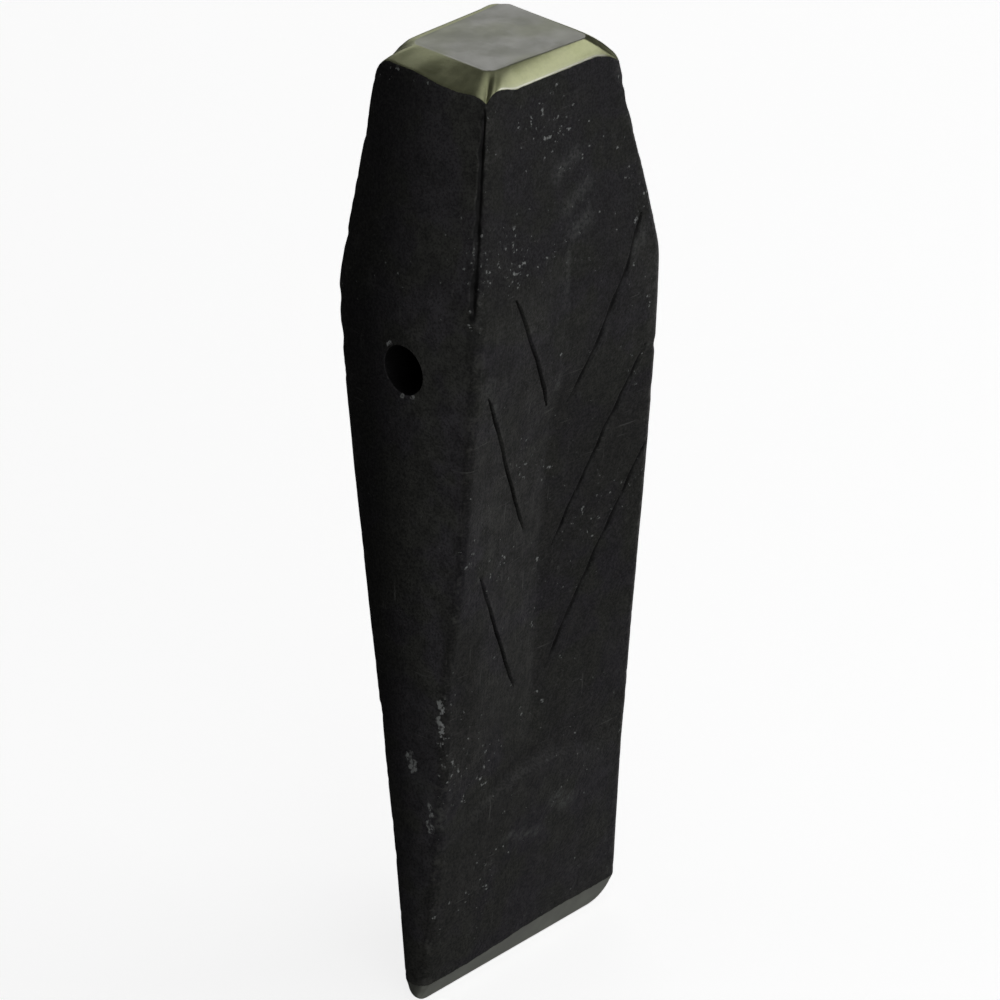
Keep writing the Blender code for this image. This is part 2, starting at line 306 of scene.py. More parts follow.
def skin_point(u, v):
    """The body's surface at column coordinate u and path coordinate v, before wear and texture."""
    sx, sy, w = quadrant(u)
    near_poll = smooth((v - 222.0) / 12.0)
    reach = CORNER_REACH + 0.9 * near_poll + 0.8 * np.exp(-((v - SHOULDER) / 12.0) ** 2)
    weight = 0.7 + 2.3 * near_poll
    z0 = np.minimum(v, BEVEL)
    x0, y0 = forged_point(sx, sy, w, z0, reach, weight)
    low = bevel_low(sx, sy, w, x0, y0)
    z = z0 + (low - BEVEL) * smooth((v - 205.0) / 30.0)
    x0, y0 = forged_point(sx, sy, w, z, reach, weight)
    share = np.clip((v - BEVEL) / BEVEL_PATH, 0.0, 1.0)
    x1, y1 = poll_point(sx, sy, w)
    x = x0 + (x1 - x0) * share
    y = y0 + (y1 - y0) * share
    p = np.stack([x, y, z + (NOMINAL_LENGTH - z) * share], axis=1)
    out = outward(u) + np.array((0.0, 0.0, 1.0))
    return p + out * (bevel_fullness(sx, sy, w) * 4.0 * share * (1.0 - share))[:, None]


def rounded_point(u, v):
    """The surface with the kinks that run round the body rounded: a short average along the path."""
    near = lambda at, width: np.exp(-((v - at) / width) ** 2)
    h = 0.12 + 1.6 * near(SHOULDER, 9.0) + 0.3 * near(BEVEL, 1.5) + 0.22 * near(BEVEL + BEVEL_PATH, 1.2)
    h = np.minimum(h, np.maximum(BEVEL + BEVEL_PATH - v, 0.0) + 0.25)
    top = BEVEL + BEVEL_PATH
    total = np.zeros((len(u), 3))
    for step, share in ((-1.0, 0.15), (-0.5, 0.22), (0.0, 0.26), (0.5, 0.22), (1.0, 0.15)):
        vv = np.clip(v + step * h, 0.0, None)
        over = np.clip(vv - top, 0.0, None)[:, None]
        p = skin_point(u, np.minimum(vv, top))
        inward = -p * np.array((1.0, 1.0, 0.0))
        length = np.maximum(np.linalg.norm(inward, axis=1), 1e-6)[:, None]
        total += share * (p + inward / length * over)
    return total


def outward(u):
    """Unit direction out of the body's side at a column, level with the ground."""
    sx, sy, w = quadrant(u)
    angle = np.clip((w - FACE_END) / (CORNER_END - FACE_END), 0.0, 1.0) * (math.pi / 2.0)
    return np.stack([sx * np.sin(angle), sy * np.cos(angle), np.zeros(len(u))], axis=1)


def groove_lines():
    """Inner end, outer end and width of each groove stroke."""
    lines = []
    for z, reach in zip(CHEVRON_HEIGHTS, RIGHT_REACHES):
        lines.append(((RIGHT_START, z), (RIGHT_START + reach, z + RIGHT_RISE * reach), RIGHT_WIDTH))
    for z, start, lift, reach in zip(CHEVRON_HEIGHTS, LEFT_STARTS, LEFT_LIFTS, LEFT_REACHES):
        lines.append(((-start, z + lift), (-start - reach, z + lift + LEFT_RISE * reach), LEFT_WIDTH))
    return lines


def groove_distance(x, z):
    """Distance to the nearest groove's line over its half width, and the place along it, for each point."""
    best = np.full(len(x), 99.0)
    along = np.zeros(len(x))
    for (x0, z0), (x1, z1), width in groove_lines():
        dx, dz = x1 - x0, z1 - z0
        length = math.hypot(dx, dz)
        t = ((x - x0) * dx + (z - z0) * dz) / (length * length)
        tc = np.clip(t, 0.0, 1.0)
        wander = 0.07 * np.sin(tc * 19.0 + x0) + 0.04 * np.sin(tc * 43.0 + z0)
        off = ((x - x0) * dz - (z - z0) * dx) / length + wander
        past = (t - tc) * length
        uneven = 1.0 - 0.25 * np.sin(tc * 17.0 + z0 * 3.0) ** 2
        open_share = smooth(tc / 0.12) * smooth((1.0 - tc) / 0.10) * uneven
        half = 0.5 * width * (0.35 + 0.65 * open_share)
        d = np.sqrt(off * off + past * past) / half
        near = d < best
        best = np.where(near, d, best)
        along = np.where(near, tc, along)
    return best, along


def skin_grid():
    """The flat, wrapped grid of the skin: a closed tube in (u, v) coordinates."""
    quarter = np.concatenate([
        np.linspace(0.0, FACE_END, FACE_COLUMNS, endpoint=False),
        np.linspace(FACE_END, CORNER_END, CORNER_COLUMNS, endpoint=False),
        np.linspace(CORNER_END, 1.0, SIDE_COLUMNS, endpoint=False),
    ])
    mirrored = np.concatenate([[1.0], quarter[:0:-1]])
    columns = np.concatenate([quarter, 2.0 - mirrored])
    columns = np.concatenate([columns, columns + 2.0]) - 2.0
    rows = np.concatenate([
        np.linspace(0.0, 10.0, 14, endpoint=False),
        np.linspace(10.0, 180.0, 137, endpoint=False),
        np.linspace(180.0, 196.0, 18, endpoint=False),
        np.linspace(196.0, 231.0, 29, endpoint=False),
        np.linspace(231.0, 234.2, 4, endpoint=False),
        np.array(BEVEL_ROWS),
        np.array([BEVEL + BEVEL_PATH]),
    ])
    return columns, rows


def build_tube():
    columns, rows = skin_grid()
    n = len(columns)
    vertices = [(u * U_SCALE, v, 0.0) for v in rows for u in columns]
    faces = []
    for r in range(len(rows) - 1):
        for c in range(n):
            d = (c + 1) % n
            faces.append((r * n + c, r * n + d, (r + 1) * n + d, (r + 1) * n + c))
    mesh = bpy.data.meshes.new("wedge_skin")
    mesh.from_pydata(vertices, [], faces)
    return mesh, n, len(rows)


def refine(mesh, wanted):
    """Splits the edges whose middle the wanted(u, v, point) rule picks, with no open joints."""
    work = bmesh.new()
    work.from_mesh(mesh)
    work.edges.ensure_lookup_table()
    ends = np.array([(*e.verts[0].co[:2], *e.verts[1].co[:2]) for e in work.edges])
    wrapped = np.abs(ends[:, 0] - ends[:, 2]) > U_SCALE
    u = 0.5 * (ends[:, 0] + ends[:, 2]) / U_SCALE
    v = 0.5 * (ends[:, 1] + ends[:, 3])
    fixed = wrapped | (v > BEVEL + BEVEL_PATH - 0.05) | (v < 0.05) | (np.abs(np.abs(u) - 2.0) < 0.03)
    p = skin_point(u, v)
    pick = wanted(u, v, p) & ~fixed
    edges = [work.edges[i] for i in np.nonzero(pick)[0]]
    bmesh.ops.subdivide_edges(work, edges=edges, cuts=1, use_grid_fill=True)
    work.to_mesh(mesh)
    work.free()


def near_groove(p, u, width):
    _, sy, w = quadrant(u)
    d = np.full(len(u), 99.0)
    on_face = w < FACE_END + 0.02
    d_front, _ = groove_distance(p[:, 0] * -sy, p[:, 2])
    d = np.where(on_face, d_front, d)
    return d < width


def near_hole(p, u, inner, outer):
    _, _, w = quadrant(u)
    r = np.hypot(p[:, 1] - HOLE_OFFSET, p[:, 2] - HOLE_HEIGHT)
    return (w > CORNER_END) & (r > inner) & (r < outer)


def near_corner(u, v, width):
    _, _, w = quadrant(u)
    return (np.abs(w - CORNER_MIDDLE) < width) & (v < BEVEL - 0.5)


def near_detail(u, v, p):
    return near_groove(p, u, 4.2) | near_hole(p, u, 4.5, 9.0) | near_corner(u, v, 0.052)


def groove_cut(p, u):
    """Depth of the herringbone grooves at each point, with a slightly raised lip, in millimetres."""
    _, sy, w = quadrant(u)
    q, along = groove_distance(p[:, 0] * -sy, p[:, 2])
    valley = np.clip(1.0 - q * q, 0.0, 1.0) ** 0.8
    lip = np.exp(-((q - 1.35) / 0.4) ** 2)
    depth = GROOVE_DEPTH * (0.75 + 0.25 * np.sin(along * 9.0 + p[:, 0])) * valley - 0.07 * lip
    fade = np.clip((FACE_END + 0.05 - w) / 0.05, 0.0, 1.0)
    return depth * fade


def undercut(u, v, ragged):
    """The trimmed flash line beside the upper long corners: a ragged furrow on the narrow side."""
    sx, sy, w = quadrant(u)
    span = smooth((v - 184.0) / 6.0) * smooth((234.5 - v) / 3.0)
    strength = np.where((sx < 0) & (sy < 0), 1.0, 0.55)
    centre = 0.560 + 0.008 * ragged
    width = 0.0125 * (1.0 + 0.8 * ragged + 0.5 * np.exp(-((v - 205.0) / 9.0) ** 2))
    furrow = np.exp(-((w - centre) / width) ** 2)
    return 0.65 * strength * span * furrow * np.clip(0.75 + 0.6 * ragged, 0.15, 1.4)


def worn_skin(u, v):
    """The finished surface, in millimetres, and its named masks."""
    p = rounded_point(u, v)
    _, sy, w = quadrant(u)
    big = perlin(p, 31.0, 1.0)
    middle = perlin(p, 10.5, 2.0)
    small = perlin(p, 3.6, 3.0)
    ragged = 0.7 * perlin(p, 4.3, 4.0) + 0.5 * perlin(p, 1.9, 6.0)
    border = ground_border(p[:, 0])
    on_edge = border - p[:, 2] + 0.35 * ragged
    on_poll = (v - BEVEL) * 0.9
    forged = smooth((np.maximum(0.0, p[:, 2] - border)) / 1.5) * smooth((BEVEL - v) / 1.5)
    slim = np.clip(np.abs(p[:, 1]) / 10.0, 0.3, 1.0)
    relief = forged * slim * (0.13 * big + 0.075 * middle + 0.035 * small)
    relief += (1.0 - forged) * (0.03 * middle + 0.012 * small)
    in_corner = np.exp(-((w - CORNER_MIDDLE) / 0.05) ** 2)
    chips = perlin(p, 6.5, 5.0)
    chipped = 0.35 * np.clip(ragged - 0.15, 0.0, 1.0) + 0.9 * np.clip(chips - 0.33, 0.0, 1.0)
    relief -= forged * in_corner * chipped
    grooves, furrow = groove_cut(p, u), undercut(u, v, ragged)
    relief -= grooves + furrow
    p = p + outward(u) * relief[:, None]
    # painted highlight: a pale band just above the arch, fading out past the middle of each broad face
    painted_arch_highlight = np.exp(-((p[:, 2] - arch_height(p[:, 0]) - 1.2) / 1.5) ** 2)
    painted_arch_highlight = painted_arch_highlight * smooth((2.0 - p[:, 0] * -sy) / 14.0)
    masks = {
        "ground_edge": on_edge,
        "ground_poll": on_poll,
        "corner": in_corner,
        "narrow": smooth((w - 0.56) / 0.05),
        # share towards -Y, which places the painted light and painted shade on the narrow sides
        "painted_side_light_share": np.clip(0.5 - p[:, 1] / 34.0, 0.0, 1.0),
        "painted_arch_highlight": painted_arch_highlight,
        # painted highlight: a bright line along the lower border of the poll bevel, on the -Y face only
        "rim": np.exp(-((v - BEVEL - 0.45) / 0.3) ** 2) * (sy < 0) * smooth((0.5 - w) / 0.04),
        # painted shade in the grooves and in the flash-line furrow
        "painted_recess_shade": np.clip(np.maximum(grooves * 0.9, furrow * 2.2), 0.0, 1.0),
        "poll_flat": np.clip((v - (BEVEL + BEVEL_PATH - 0.3)) / 0.3, 0.0, 1.0),
    }
    return p, masks


def cap_poll(work, ring):
    """Fills the poll flat with a grid of quads that meets the skin's top ring."""
    quarter = FACE_COLUMNS + CORNER_COLUMNS + SIDE_COLUMNS
    middle = FACE_COLUMNS + CORNER_COLUMNS // 2
    stops = [middle, 2 * quarter - middle, 2 * quarter + middle, 4 * quarter - middle]
    total = len(ring)
    run = lambda a, b: [ring[i % total] for i in range(a, b + 1)]
    left, front = run(stops[0], stops[1]), run(stops[1], stops[2])
    right, back = run(stops[2], stops[3]), run(stops[3], stops[0] + total)
    left, back = left[::-1], back[::-1]
    rows, columns = len(left) - 1, len(front) - 1
    grid = [[None] * (columns + 1) for _ in range(rows + 1)]
    for j in range(rows + 1):
        for i in range(columns + 1):
            if i in (0, columns):
                grid[j][i] = (left if i == 0 else right)[j]
            elif j in (0, rows):
                grid[j][i] = (front if j == 0 else back)[i]
            else:
                s, t = i / columns, j / rows
                edges = left[j].co * (1 - s) + right[j].co * s + front[i].co * (1 - t) + back[i].co * t
                corners = (front[0].co * (1 - s) + front[-1].co * s) * (1 - t)
                corners += (back[0].co * (1 - s) + back[-1].co * s) * t
                p = edges - corners
                inside = min(min(i, columns - i) * 0.5, min(j, rows - j) * 0.9)
                p.z = NOMINAL_LENGTH - 0.12 * math.exp(-inside) + 0.05 * noise.noise(p / 9.0)
                grid[j][i] = work.verts.new(p)
    for j in range(rows):
        for i in range(columns):
            work.faces.new((grid[j][i], grid[j][i + 1], grid[j + 1][i + 1], grid[j + 1][i]))


def cap_edge(work, ring):
    """Closes the narrow strip under the cutting edge, point by point across the thickness."""
    half = len(ring) // 2
    for first, mirror in ((0, half), (half, 3 * half)):
        for i in range(first, first + half // 2):
            across = [ring[(mirror - i - 1) % len(ring)], ring[(mirror - i) % len(ring)]]
            work.faces.new(list(dict.fromkeys([ring[i], ring[i + 1], *across])))


def closed_skin():
    """The whole body without its hole, and the masks by point, in millimetres."""
    mesh, columns, rows = build_tube()
    refine(mesh, near_detail)
    refine(mesh, lambda u, v, p: near_groove(p, u, 2.1))
    co = np.zeros(len(mesh.vertices) * 3, np.float32)
    mesh.vertices.foreach_get("co", co)
    co = co.reshape(-1, 3).astype(float)
    u, v = co[:, 0] / U_SCALE, co[:, 1]
    p, masks = worn_skin(u, v)
    mesh.vertices.foreach_set("co", p.astype(np.float32).ravel())
    work = bmesh.new()
    work.from_mesh(mesh)
    work.verts.ensure_lookup_table()
    bottom = [work.verts[i] for i in range(columns)]
    top = [work.verts[(rows - 1) * columns + i] for i in range(columns)]
    cap_edge(work, bottom)
    cap_poll(work, top)
    added = len(work.verts) - len(p)
    bmesh.ops.recalc_face_normals(work, faces=work.faces)
    work.to_mesh(mesh)
    work.free()
    on_flat = {
        "ground_edge": -50.0,
        "ground_poll": 9.0,
        "corner": 0.0,
        "narrow": 0.0,
        "painted_side_light_share": 0.5,
        "painted_arch_highlight": 0.0,
        "rim": 0.0,
        "painted_recess_shade": 0.0,
        "poll_flat": 1.0,
    }
    for name, value in on_flat.items():
        masks[name] = np.concatenate([masks[name], np.full(added, value)])
    return mesh, masks


def hole_cutter():
    """A rod along X with a slightly uneven wall and a worn mouth at each end."""
    bore = [(x, HOLE_BORE_RADIUS) for x in (-28.0, -20.0, -10.0, 0.0, 10.0, 20.0, 28.0)]
    left_mouth = [(-x, radius) for x, radius in reversed(HOLE_MOUTH)]
    profile = (*left_mouth, *bore, *HOLE_MOUTH)
    segments = 80
    work = bmesh.new()
    loops = []
    for x, radius in profile:
        loop = []
        for i in range(segments):
            angle = 2.0 * math.pi * i / segments
            c, s = math.cos(angle), math.sin(angle)
            r = radius + 0.12 * noise.noise(Vector((x / 9.0, 2.0 * c, 2.0 * s)))
            loop.append(work.verts.new((x, HOLE_OFFSET + r * c, HOLE_HEIGHT + r * s)))
        loops.append(loop)
    for low, high in zip(loops, loops[1:]):
        for i in range(segments):
            j = (i + 1) % segments
            work.faces.new((low[i], low[j], high[j], high[i]))
    work.faces.new(loops[0])
    work.faces.new(loops[-1])
    bmesh.ops.recalc_face_normals(work, faces=work.faces)
    mesh = bpy.data.meshes.new("hole_rod")
    work.to_mesh(mesh)
    work.free()
    rod = bpy.data.objects.new("hole_rod", mesh)
    bpy.context.scene.collection.objects.link(rod)
    return rod


def stroke_strength(p, made):
    """Soft spots round short strokes, for scuffs, smears and a painted highlight line: 1 on the line of a
    full-strength stroke.
    """
    total = np.zeros(len(p))
    for a, b, radius, strength in made:
        t = np.clip((p - a) @ (b - a) / max((b - a) @ (b - a), 1e-9), 0.0, 1.0)
        d = np.linalg.norm(p - a - t[:, None] * (b - a), axis=1)
        total = np.maximum(total, strength * np.exp(-(d / radius) ** 2))
    return total


def front_at(x, z):
    """Point of the broad face that looks along -Y."""
    return np.array((x, -float(face_depth(np.array([x]), np.array([z]), -1)[0]), z))


def left_at(y, z):
    """Point of the narrow side that looks along -X."""
    half = float(face_depth(np.array([-half_width(z, -1)]), np.array([z]), -1)[0])
    return np.array((-float(half_width(z, -1)) - SIDE_FULLNESS * (half * half - y * y) / half, y, z))


def strokes(at, start, end, count, lean, radius, strength, seed):
    """Short strokes strewn between two places of a face, each with its own length, lean and strength."""
    draw = random.Random(seed)
    made = []
    for index in range(count):
        t = (index + 0.5) / count
        a = start[0] + (end[0] - start[0]) * t + draw.uniform(-0.8, 0.8)
        b = start[1] + (end[1] - start[1]) * t + draw.uniform(-0.8, 0.8)
        grow = draw.uniform(0.5, 1.0)
        begin, finish = at(a, b), at(a + lean[0] * grow, b + lean[1] * grow)
        made.append((begin, finish, radius * draw.uniform(0.8, 1.2), strength * draw.uniform(0.85, 1.0)))
    return made


def rim_strokes():
    """Bare nicks on the rim of the hole: one at its top towards +Y and two under it."""
    made = []
    for degrees in (50.0, 250.0, 275.0):
        angle = math.radians(degrees)
        y = HOLE_OFFSET + (HOLE_WALL + 0.4) * math.cos(angle)
        z = HOLE_HEIGHT + (HOLE_WALL + 0.4) * math.sin(angle)
        made.append((left_at(y, z), left_at(y - 0.8, z + 0.8), 0.6, 1.0))
    return made


# Each run: the face, the two places (across, height), how many, lean, radius, strength and seed
SCUFFS = (
    strokes(left_at, (-9.0, 88.0), (-9.0, 68.0), 5, (-1.0, -3.5), 0.95, 1.0, 11)
    + strokes(left_at, (-6.0, 59.0), (-5.0, 51.0), 2, (-0.8, -3.0), 1.2, 0.8, 12)
    + strokes(left_at, (2.0, 68.0), (-1.5, 65.0), 3, (-1.8, 2.4), 1.0, 0.95, 13)
    + rim_strokes()
)
SMEARS_AND_CREASE_HIGHLIGHT = (
    strokes(front_at, (-12.0, 38.0), (3.0, 35.0), 4, (4.0, 0.6), 0.7, 0.85, 21)
    + strokes(front_at, (4.0, 44.5), (14.0, 37.0), 2, (5.5, 1.0), 1.2, 0.9, 22)
    + strokes(left_at, (0.0, 68.0), (-8.0, 56.0), 4, (-2.0, -6.0), 2.4, 0.5, 23)
    + strokes(front_at, (-29.0, 172.0), (-23.0, 161.0), 2, (0.0, -6.0), 1.5, 0.55, 24)
    + strokes(front_at, (-3.0, 215.0), (4.0, 194.0), 3, (8.0, 4.0), 2.0, 0.6, 25)
    + strokes(front_at, (26.0, 190.0), (20.0, 184.0), 2, (2.0, 5.0), 1.2, 0.65, 26)
    # painted highlight: a thin pale line down the centre crease of the -Y face
    + [(front_at(0.0, 194.0), front_at(-1.0, 159.0), 0.7, 0.7)]
)


def build_wedge():
    mesh, masks = closed_skin()
    body = bpy.data.objects.new("wedge_body", mesh)
    bpy.context.scene.collection.objects.link(body)
    tree = kdtree.KDTree(len(mesh.vertices))
    for vertex in mesh.vertices:
        tree.insert(vertex.co, vertex.index)
    tree.balance()
    rod = hole_cutter()
    cut = body.modifiers.new("hole", "BOOLEAN")
    cut.operation = "DIFFERENCE"
    cut.solver = "EXACT"
    cut.object = rod
    bpy.context.view_layer.update()
    final = bpy.data.meshes.new_from_object(body.evaluated_get(bpy.context.evaluated_depsgraph_get()))
    body.modifiers.clear()
    body.data = final
    final.name = "wedge_body"
    bpy.data.objects.remove(rod)
    nearest = np.array([tree.find(vertex.co)[1] for vertex in final.vertices])
    points = np.array([vertex.co for vertex in final.vertices])
    for name, values in masks.items():
        layer = final.attributes.new(name, "FLOAT", "POINT")
        layer.data.foreach_set("value", values[nearest].astype(np.float32))
    layer = final.attributes.new("scuff", "FLOAT", "POINT")
    layer.data.foreach_set("value", stroke_strength(points, SCUFFS).astype(np.float32))
    layer = final.attributes.new("smear_and_crease_highlight", "FLOAT", "POINT")
    layer.data.foreach_set("value", stroke_strength(points, SMEARS_AND_CREASE_HIGHLIGHT).astype(np.float32))
    # painted shade: the inside of the hole is darkened as well
    in_hole = np.hypot(points[:, 1] - HOLE_OFFSET, points[:, 2] - HOLE_HEIGHT) < HOLE_WALL
    painted_hole_shade = in_hole * smooth((34.5 - np.abs(points[:, 0])) / 0.9)
    layer = final.attributes["painted_recess_shade"]
    painted_recess_shade = masks["painted_recess_shade"][nearest]
    layer.data.foreach_set("value", np.maximum(painted_recess_shade, painted_hole_shade).astype(np.float32))
    final.transform(Matrix.Scale(MM, 4))
    final.polygons.foreach_set("use_smooth", [True] * len(final.polygons))
    final.set_sharp_from_angle(angle=math.radians(55.0))
    return body


# ---------------------------------------------------------------- materials
class Nodes:
    """Short calls for building a node tree."""

    def __init__(self, material):
        material.use_nodes = True
        self.tree = material.node_tree
        self.tree.nodes.clear()

    def add(self, kind, inputs=(), **settings):
        node = self.tree.nodes.new(kind)
        for name, value in settings.items():
            setattr(node, name, value)
        for key, value in dict(inputs).items():
            socket = node.inputs[key]
            if isinstance(value, bpy.types.NodeSocket):
                self.tree.links.new(value, socket)
            else:
                socket.default_value = value
        return node

    def math(self, operation, a, b=0.0, clamp=False):
        return self.add("ShaderNodeMath", {0: a, 1: b}, operation=operation, use_clamp=clamp).outputs[0]

    def ramp(self, value, low, high, to_low=0.0, to_high=1.0):
        """Smooth step of a value from low to high."""
        limits = {"From Min": low, "From Max": high, "To Min": to_low, "To Max": to_high}
        node = self.add("ShaderNodeMapRange", {"Value": value, **limits}, interpolation_type="SMOOTHSTEP")
        return node.outputs["Result"]

    def noise(self, vector, scale, detail=2.0, roughness=0.5, distortion=0.0):
        look = {"Scale": scale, "Detail": detail, "Roughness": roughness, "Distortion": distortion}
        return self.add("ShaderNodeTexNoise", {"Vector": vector, **look}).outputs["Fac"]

    def mix(self, share, a, b):
        node = self.add("ShaderNodeMix", {"Factor": share}, data_type="RGBA")
        for socket, value in ((node.inputs[6], a), (node.inputs[7], b)):
            if isinstance(value, bpy.types.NodeSocket):
                self.tree.links.new(value, socket)
            else:
                socket.default_value = (*value, 1.0)
        return node.outputs[2]

    def mask(self, name):
        node = self.add("ShaderNodeAttribute", attribute_name=name, attribute_type="GEOMETRY")
        return node.outputs["Fac"]

    def stretch(self, vector, scale, rotation=(0.0, 0.0, 0.0)):
        turned = {"Vector": vector, "Scale": scale, "Rotation": rotation}
        return self.add("ShaderNodeMapping", turned).outputs[0]


def forged_steel():
    material = bpy.data.materials.new("forged_steel_worn")
    n = Nodes(material)
    place = n.add("ShaderNodeTexCoord").outputs["Object"]
    patch = n.noise(place, 42.0, 4.0, 0.6)
    tint = n.noise(place, 75.0, 2.0, 0.5)
    mottle = n.noise(place, 210.0, 6.0, 0.68)
    drag = n.noise(n.stretch(place, (260.0, 260.0, 90.0), (0.0, 0.35, 0.0)), 1.0, 5.0, 0.65)
    fine = n.noise(place, 1000.0, 4.0, 0.65)
    grain = n.noise(place, 2800.0, 2.0, 0.5)

    # forging skin: black, unevenly matt, with olive and violet patches
    skin = n.mix(n.ramp(tint, 0.44, 0.58), (0.044, 0.040, 0.050), (0.047, 0.048, 0.040))
    skin = n.mix(n.ramp(patch, 0.40, 0.66), skin, (0.050, 0.049, 0.045))

    # painted light and shade: the narrow sides fade from a painted lit tone at -Y to painted shade at +Y,
    # and the step of the arch gets a paler painted highlight
    side_tint = n.ramp(tint, 0.44, 0.58)
    painted_side_shade = n.mix(side_tint, (0.009, 0.008, 0.010), (0.010, 0.010, 0.008))
    painted_side_lit_tone = n.mix(side_tint, (0.195, 0.187, 0.205), (0.195, 0.197, 0.180))
    painted_side_light_and_shade = n.mix(n.ramp(n.mask("painted_side_light_share"), 0.10, 0.85), painted_side_shade, painted_side_lit_tone)
    skin = n.mix(n.math("MULTIPLY", n.mask("narrow"), 0.85), skin, painted_side_light_and_shade)
    # painted highlight along the step of the arch
    skin = n.mix(n.math("MULTIPLY", n.mask("painted_arch_highlight"), 0.34), skin, (0.14, 0.14, 0.135))

    # the slope above the shoulder is a little darker
    height_of = n.add("ShaderNodeSeparateXYZ", {"Vector": place}).outputs[2]
    above = n.ramp(height_of, 0.180 * SCALE, 0.196 * SCALE)
    skin = n.mix(n.math("MULTIPLY", above, 0.25), skin, (0.0, 0.0, 0.0))

    # darker mottling, fine grain and faint rubbed smears
    skin = n.mix(n.ramp(mottle, 0.62, 0.38, 0.0, 0.45), skin, (0.018, 0.018, 0.019))
    dusty = n.noise(place, 1700.0, 3.0, 0.6)
    skin = n.mix(n.ramp(dusty, 0.42, 0.62, 0.0, 0.20), skin, (0.12, 0.12, 0.115))
    skin = n.mix(n.ramp(dusty, 0.56, 0.38, 0.0, 0.50), skin, (0.014, 0.014, 0.015))
    rubbed = n.math("MULTIPLY", n.ramp(drag, 0.52, 0.74), n.ramp(fine, 0.35, 0.65))
    skin = n.mix(n.math("MULTIPLY", rubbed, 0.30), skin, (0.125, 0.126, 0.120))

    # pale flecks: painted glints on rubbed pits, and dust, crowded in patches and thickest on the slope
    # above the shoulder
    crowd = n.noise(place, 48.0, 3.0, 0.55)
    crowd = n.math("ADD", crowd, n.math("MULTIPLY", above, 0.09))
    crowd = n.math("SUBTRACT", crowd, n.math("MULTIPLY", n.mask("narrow"), 0.10))
    bits = n.noise(place, 760.0, 3.0, 0.55)
    level = n.math("ADD", bits, n.math("MULTIPLY", crowd, 0.42))
    glint_speck = n.ramp(level, 0.93, 0.97)
    glint_halo = n.math("MULTIPLY", n.ramp(level, 0.82, 0.96), n.ramp(fine, 0.42, 0.62))
    skin = n.mix(n.math("MULTIPLY", glint_halo, 0.45), skin, (0.17, 0.18, 0.17))
    skin = n.mix(n.math("MULTIPLY", glint_speck, 0.85), skin, (0.50, 0.52, 0.51))

    # short hair scratches in two directions
    hair_a = n.noise(n.stretch(place, (90.0, 90.0, 1500.0), (0.0, 0.5, 0.0)), 1.0, 2.0, 0.5)
    hair_b = n.noise(n.stretch(place, (1300.0, 500.0, 60.0), (0.0, -0.25, 0.0)), 1.0, 2.0, 0.5)
    hair = n.math("MAXIMUM", n.ramp(hair_a, 0.68, 0.75), n.ramp(hair_b, 0.68, 0.75))
    hair = n.math("MULTIPLY", hair, n.ramp(patch, 0.45, 0.62))
    skin = n.mix(n.math("MULTIPLY", hair, 0.4), skin, (0.26, 0.26, 0.25))

    # thin wear along the long corners, and scuffs down to bare metal
    broken = n.math("ADD", n.math("MULTIPLY", mottle, 0.7), n.math("MULTIPLY", fine, 0.5))
    wear = n.math("MULTIPLY", n.mask("corner"), n.ramp(broken, 0.58, 0.74))
    skin = n.mix(n.math("MULTIPLY", wear, 0.6), skin, (0.15, 0.15, 0.14))
    wisps = n.noise(n.stretch(place, (900.0, 900.0, 420.0), (0.0, 0.5, 0.3)), 1.0, 3.0, 0.6)
    torn = n.math("MULTIPLY", n.ramp(fine, 0.36, 0.62), n.ramp(wisps, 0.36, 0.60))
    torn = n.math("ADD", 0.55, n.math("MULTIPLY", torn, 0.85))
    scuff = n.ramp(n.math("MULTIPLY", n.mask("scuff"), torn), 0.38, 0.74)
    # pale smears, with the painted highlight along the centre crease
    smear_and_crease_highlight = n.math("MULTIPLY", n.mask("smear_and_crease_highlight"), n.ramp(fine, 0.30, 0.66))
    skin = n.mix(n.math("MULTIPLY", smear_and_crease_highlight, 0.8), skin, (0.20, 0.21, 0.20))
    # painted shade: grooves, furrow and the inside of the hole darkened nearly to black
    painted_recess_shade = n.mask("painted_recess_shade")
    skin = n.mix(n.ramp(painted_recess_shade, 0.12, 0.55, 0.0, 0.93), skin, (0.004, 0.004, 0.004))
    skin = n.mix(scuff, skin, (0.66, 0.68, 0.67))

    # ground metal: the poll, its bevels and the cutting edge
    ragged = n.math("MULTIPLY", n.math("SUBTRACT", n.noise(place, 420.0, 4.0, 0.65), 0.5), 1.1)
    poll_border = n.math("ADD", n.mask("ground_poll"), n.math("MULTIPLY", ragged, 0.5))
    ground_poll = n.ramp(poll_border, 0.0, 0.12)
    ground_edge = n.ramp(n.math("ADD", n.mask("ground_edge"), ragged), 0.0, 0.15)
    ground = n.math("MAXIMUM", ground_poll, ground_edge)
    streak = n.noise(n.stretch(place, (60.0, 60.0, 900.0)), 1.0, 4.0, 0.6)
    cloud = n.noise(place, 130.0, 5.0, 0.62)
    bevel_metal = n.mix(n.ramp(cloud, 0.36, 0.66), (0.44, 0.46, 0.26), (0.66, 0.68, 0.42))
    bevel_metal = n.mix(n.ramp(streak, 0.35, 0.75, 0.0, 0.45), bevel_metal, (0.58, 0.60, 0.38))
    haze = n.noise(place, 62.0, 3.0, 0.5)
    flat_metal = n.mix(n.ramp(haze, 0.36, 0.62), (0.39, 0.40, 0.315), (0.495, 0.495, 0.46))
    flat_metal = n.mix(n.ramp(cloud, 0.40, 0.70, 0.0, 0.5), flat_metal, (0.49, 0.50, 0.43))
    edge_metal = n.mix(n.ramp(cloud, 0.35, 0.70), (0.42, 0.43, 0.38), (0.56, 0.58, 0.51))
    metal = n.mix(n.mask("poll_flat"), bevel_metal, flat_metal)
